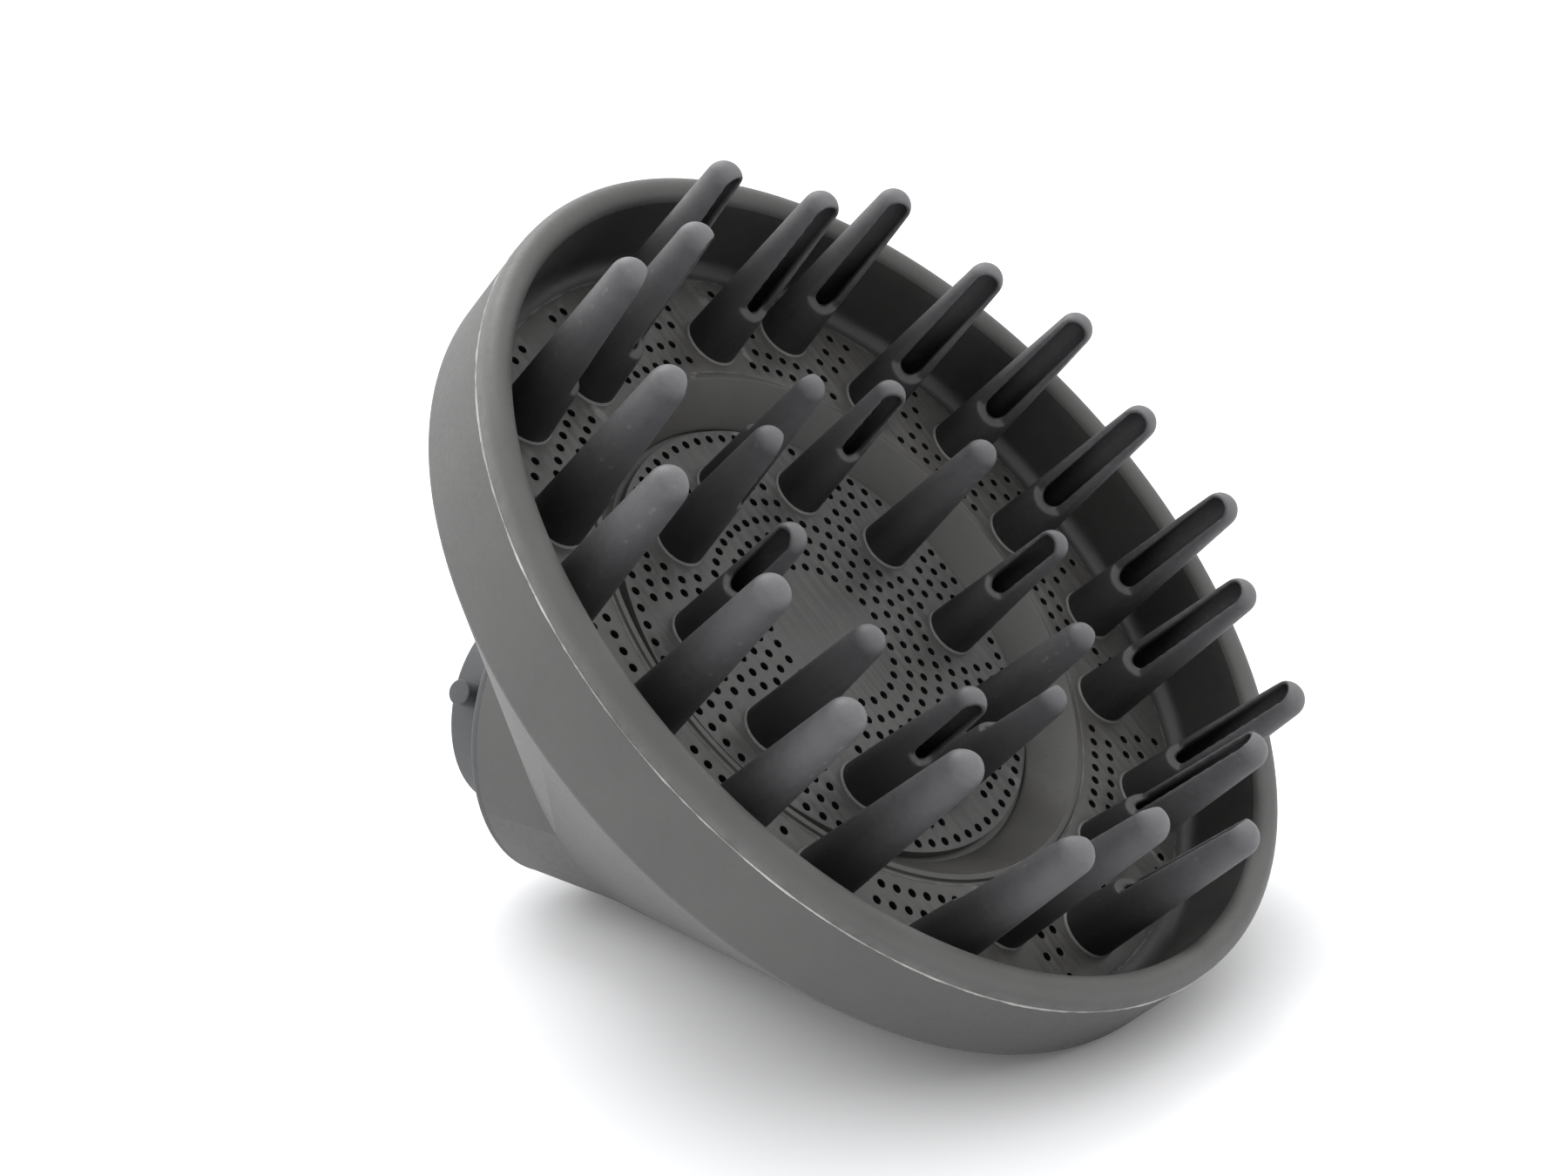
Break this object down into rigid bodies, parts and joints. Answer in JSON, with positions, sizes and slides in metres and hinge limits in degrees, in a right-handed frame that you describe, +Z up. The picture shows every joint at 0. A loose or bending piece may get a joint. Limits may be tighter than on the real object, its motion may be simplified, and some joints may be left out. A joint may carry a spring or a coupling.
{
  "type": "hair dryer diffuser",
  "caption": "Round bowl diffuser for a hair dryer, with hollow slotted air fingers, a perforated floor, a conical housing and an angled neck ending in a bayonet collar.",
  "frame": {"origin": "centre of the collar on the neck axis, at the shoulder that the dryer's nozzle butts against", "axes": "+X along the neck axis from the collar into the part, +Z up, +Y to the left when looking along +X; the part is mirror-symmetric about XZ except for the pegs"},
  "size_m": [0.1537, 0.17, 0.1406],
  "materials": {
    "housing_plastic": "fine matte texture",
    "collar_plastic": "fine matte texture",
    "bowl_plastic": "satin matte",
    "grille_plastic": "satin matte",
    "finger_plastic": "spark-eroded matte, polished on the tips"
  },
  "bodies": {
    "root": {"rear_housing": "housing_plastic", "housing_band": "housing_plastic", "collar_sleeve": "collar_plastic", "bowl_rim": "bowl_plastic", "bowl_floor": "bowl_plastic", "centre_grille": "grille_plastic", "outer_finger_01": "finger_plastic", "outer_finger_02": "finger_plastic", "outer_finger_03": "finger_plastic", "outer_finger_04": "finger_plastic", "outer_finger_05": "finger_plastic", "outer_finger_06": "finger_plastic", "outer_finger_07": "finger_plastic", "outer_finger_08": "finger_plastic", "outer_finger_09": "finger_plastic", "outer_finger_10": "finger_plastic", "outer_finger_11": "finger_plastic", "outer_finger_12": "finger_plastic", "outer_finger_13": "finger_plastic", "outer_finger_14": "finger_plastic", "outer_finger_15": "finger_plastic", "outer_finger_16": "finger_plastic", "outer_finger_17": "finger_plastic", "outer_finger_18": "finger_plastic", "outer_finger_19": "finger_plastic", "outer_finger_20": "finger_plastic", "inner_finger_01": "finger_plastic", "inner_finger_02": "finger_plastic", "inner_finger_03": "finger_plastic", "inner_finger_04": "finger_plastic", "inner_finger_05": "finger_plastic", "inner_finger_06": "finger_plastic", "inner_finger_07": "finger_plastic", "inner_finger_08": "finger_plastic", "inner_finger_09": "finger_plastic", "inner_finger_10": "finger_plastic"}
  },
  "joints": []
}
